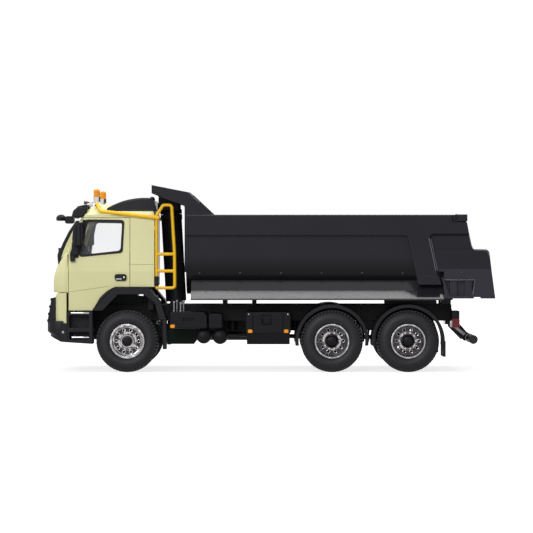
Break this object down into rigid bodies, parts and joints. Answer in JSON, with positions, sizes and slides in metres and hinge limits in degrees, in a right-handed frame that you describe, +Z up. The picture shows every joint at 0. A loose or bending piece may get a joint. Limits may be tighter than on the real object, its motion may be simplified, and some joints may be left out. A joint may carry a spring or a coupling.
{
  "type": "scale model dump truck",
  "caption": "Collector's scale model of a three-axle tipper truck with opening doors, steering, a half-pipe bed, front hoist and hinged tailgate.",
  "frame": {"origin": "on the ground under the middle of the whole model, the midpoint of its length and width", "axes": "+X forward to the bumper, +Y to the truck's left side, +Z up"},
  "size_m": [0.1618, 0.0576, 0.0675],
  "materials": {
    "cab_cream": "satin cream-yellow paint",
    "bed_grey": "satin anthracite paint",
    "chassis_black": "satin black paint",
    "black_plastic": "fine grained black",
    "interior_grey": "dark grey",
    "tank_grey": "satin dark grey paint",
    "rail_yellow": "gloss yellow paint",
    "engine_green": "satin green paint",
    "rim_metal": "polished bright metal",
    "tyre_black": "moulded rubber",
    "window": "clear",
    "clear_lens": "clear lens",
    "amber_lens": "clear amber",
    "red_lens": "clear red",
    "bright_metal": "bright plating"
  },
  "bodies": {
    "chassis": {"frame_ladder": "chassis_black", "engine": "engine_green", "drive_line": "chassis_black", "front_axle": "chassis_black", "leaf_springs": "chassis_black", "chassis_boxes": "black_plastic", "air_tanks": "chassis_black", "battery_box": "black_plastic", "fuel_tank": "tank_grey", "silencer": "tank_grey", "front_mudguards": "black_plastic", "rear_mudguards": "black_plastic", "bumper": "black_plastic", "bumper_corners": "cab_cream", "grille": "black_plastic", "headlamps": "clear_lens", "entry_steps": "black_plastic", "side_markers": "amber_lens", "tail_lamps": "red_lens", "underrun_bar": "chassis_black", "cab_shell": "cab_cream", "windscreen": "window", "windscreen_seal": "black_plastic", "cab_interior": "interior_grey", "steering_wheel": "black_plastic", "sun_visor": "black_plastic", "roof_deflector": "bed_grey", "handrail_and_ladder": "rail_yellow", "beacon_bases": "bright_metal", "beacon_lenses": "amber_lens", "air_horns": "bright_metal"},
    "door_left": {"door_left": "cab_cream", "door_glass_left": "window", "door_fittings_left": "black_plastic"},
    "door_right": {"door_right": "cab_cream", "door_glass_right": "window", "door_fittings_right": "black_plastic"},
    "knuckle_left": {"knuckle_left": "chassis_black"},
    "knuckle_right": {"knuckle_right": "chassis_black"},
    "tie_rod": {"tie_rod": "chassis_black"},
    "front_wheel_left": {"front_rim_left": "rim_metal", "front_tyre_left": "tyre_black"},
    "front_wheel_right": {"front_rim_right": "rim_metal", "front_tyre_right": "tyre_black"},
    "rear_axle_1": {"rear_rims_1": "rim_metal", "rear_tyres_1": "tyre_black"},
    "rear_axle_2": {"rear_rims_2": "rim_metal", "rear_tyres_2": "tyre_black"},
    "bed": {"bed_shell": "bed_grey", "bed_front_wall": "bed_grey", "bed_canopy": "bed_grey", "bed_rails": "bed_grey", "bed_skirts": "bed_grey", "bed_subframe": "bed_grey"},
    "tailgate": {"tailgate": "bed_grey"},
    "hoist_barrel": {"hoist_barrel": "bed_grey"},
    "hoist_stage_1": {"hoist_stage_1": "bright_metal"},
    "hoist_stage_2": {"hoist_stage_2": "bright_metal"},
    "hoist_rod": {"hoist_rod": "bright_metal"}
  },
  "joints": [
    {"name": "steer_left", "type": "hinge", "parent": "chassis", "child": "knuckle_left", "pos_m": [0.0517, 0.02, 0.0112], "axis": [0, 0, 1], "range_deg": [-25, 25]},
    {"name": "steer_right", "type": "hinge", "parent": "chassis", "child": "knuckle_right", "pos_m": [0.0517, -0.02, 0.0112], "axis": [0, 0, 1], "range_deg": [-25, 25]},
    {"name": "tie_rod_pivot", "type": "hinge", "parent": "knuckle_left", "child": "tie_rod", "pos_m": [0.0475, 0.0177, 0.0088], "axis": [0, 0, 1], "range_deg": [-25, 25]},
    {"name": "front_spin_left", "type": "hinge", "parent": "knuckle_left", "child": "front_wheel_left", "pos_m": [0.0517, 0.0219, 0.0112], "axis": [0, 1, 0], "continuous": true},
    {"name": "front_spin_right", "type": "hinge", "parent": "knuckle_right", "child": "front_wheel_right", "pos_m": [0.0517, -0.0219, 0.0112], "axis": [0, 1, 0], "continuous": true},
    {"name": "rear_spin_1", "type": "hinge", "parent": "chassis", "child": "rear_axle_1", "pos_m": [-0.0221, 0, 0.0112], "axis": [0, 1, 0], "continuous": true},
    {"name": "rear_spin_2", "type": "hinge", "parent": "chassis", "child": "rear_axle_2", "pos_m": [-0.0496, 0, 0.0112], "axis": [0, 1, 0], "continuous": true},
    {"name": "bed_tip", "type": "hinge", "parent": "chassis", "child": "bed", "pos_m": [-0.0645, 0, 0.023], "axis": [0, -1, 0], "range_deg": [0, 48]},
    {"name": "tailgate_swing", "type": "hinge", "parent": "bed", "child": "tailgate", "pos_m": [-0.067, 0, 0.0557], "axis": [0, 1, 0], "range_deg": [0, 60]},
    {"name": "barrel_swing", "type": "hinge", "parent": "chassis", "child": "hoist_barrel", "pos_m": [0.0349, 0, 0.024], "axis": [0, -1, 0], "range_deg": [0, 34.19]},
    {"name": "stage_1_slide", "type": "slide", "parent": "hoist_barrel", "child": "hoist_stage_1", "axis": [0.0564, 0, 0.9984], "range_m": [0, 0.02645]},
    {"name": "stage_2_slide", "type": "slide", "parent": "hoist_stage_1", "child": "hoist_stage_2", "axis": [0.0564, 0, 0.9984], "range_m": [0, 0.02645]},
    {"name": "rod_slide", "type": "slide", "parent": "hoist_stage_2", "child": "hoist_rod", "axis": [0.0564, 0, 0.9984], "range_m": [0, 0.02645]},
    {"name": "door_left_swing", "type": "hinge", "parent": "chassis", "child": "door_left", "pos_m": [0.07293, 0.02372, 0.04], "axis": [0, 0, -1], "range_deg": [0, 65]},
    {"name": "door_right_swing", "type": "hinge", "parent": "chassis", "child": "door_right", "pos_m": [0.07293, -0.02372, 0.04], "axis": [0, 0, 1], "range_deg": [0, 65]}
  ],
  "couplings": [
    {"joint": "steer_right", "follows": "steer_left", "ratio": 1},
    {"joint": "tie_rod_pivot", "follows": "steer_left", "ratio": -1},
    {"joint": "barrel_swing", "follows": "bed_tip", "ratio": 0.71131},
    {"joint": "stage_1_slide", "follows": "bed_tip", "m_per_rad": 0.031546},
    {"joint": "stage_2_slide", "follows": "bed_tip", "m_per_rad": 0.031546},
    {"joint": "rod_slide", "follows": "bed_tip", "m_per_rad": 0.031546}
  ]
}
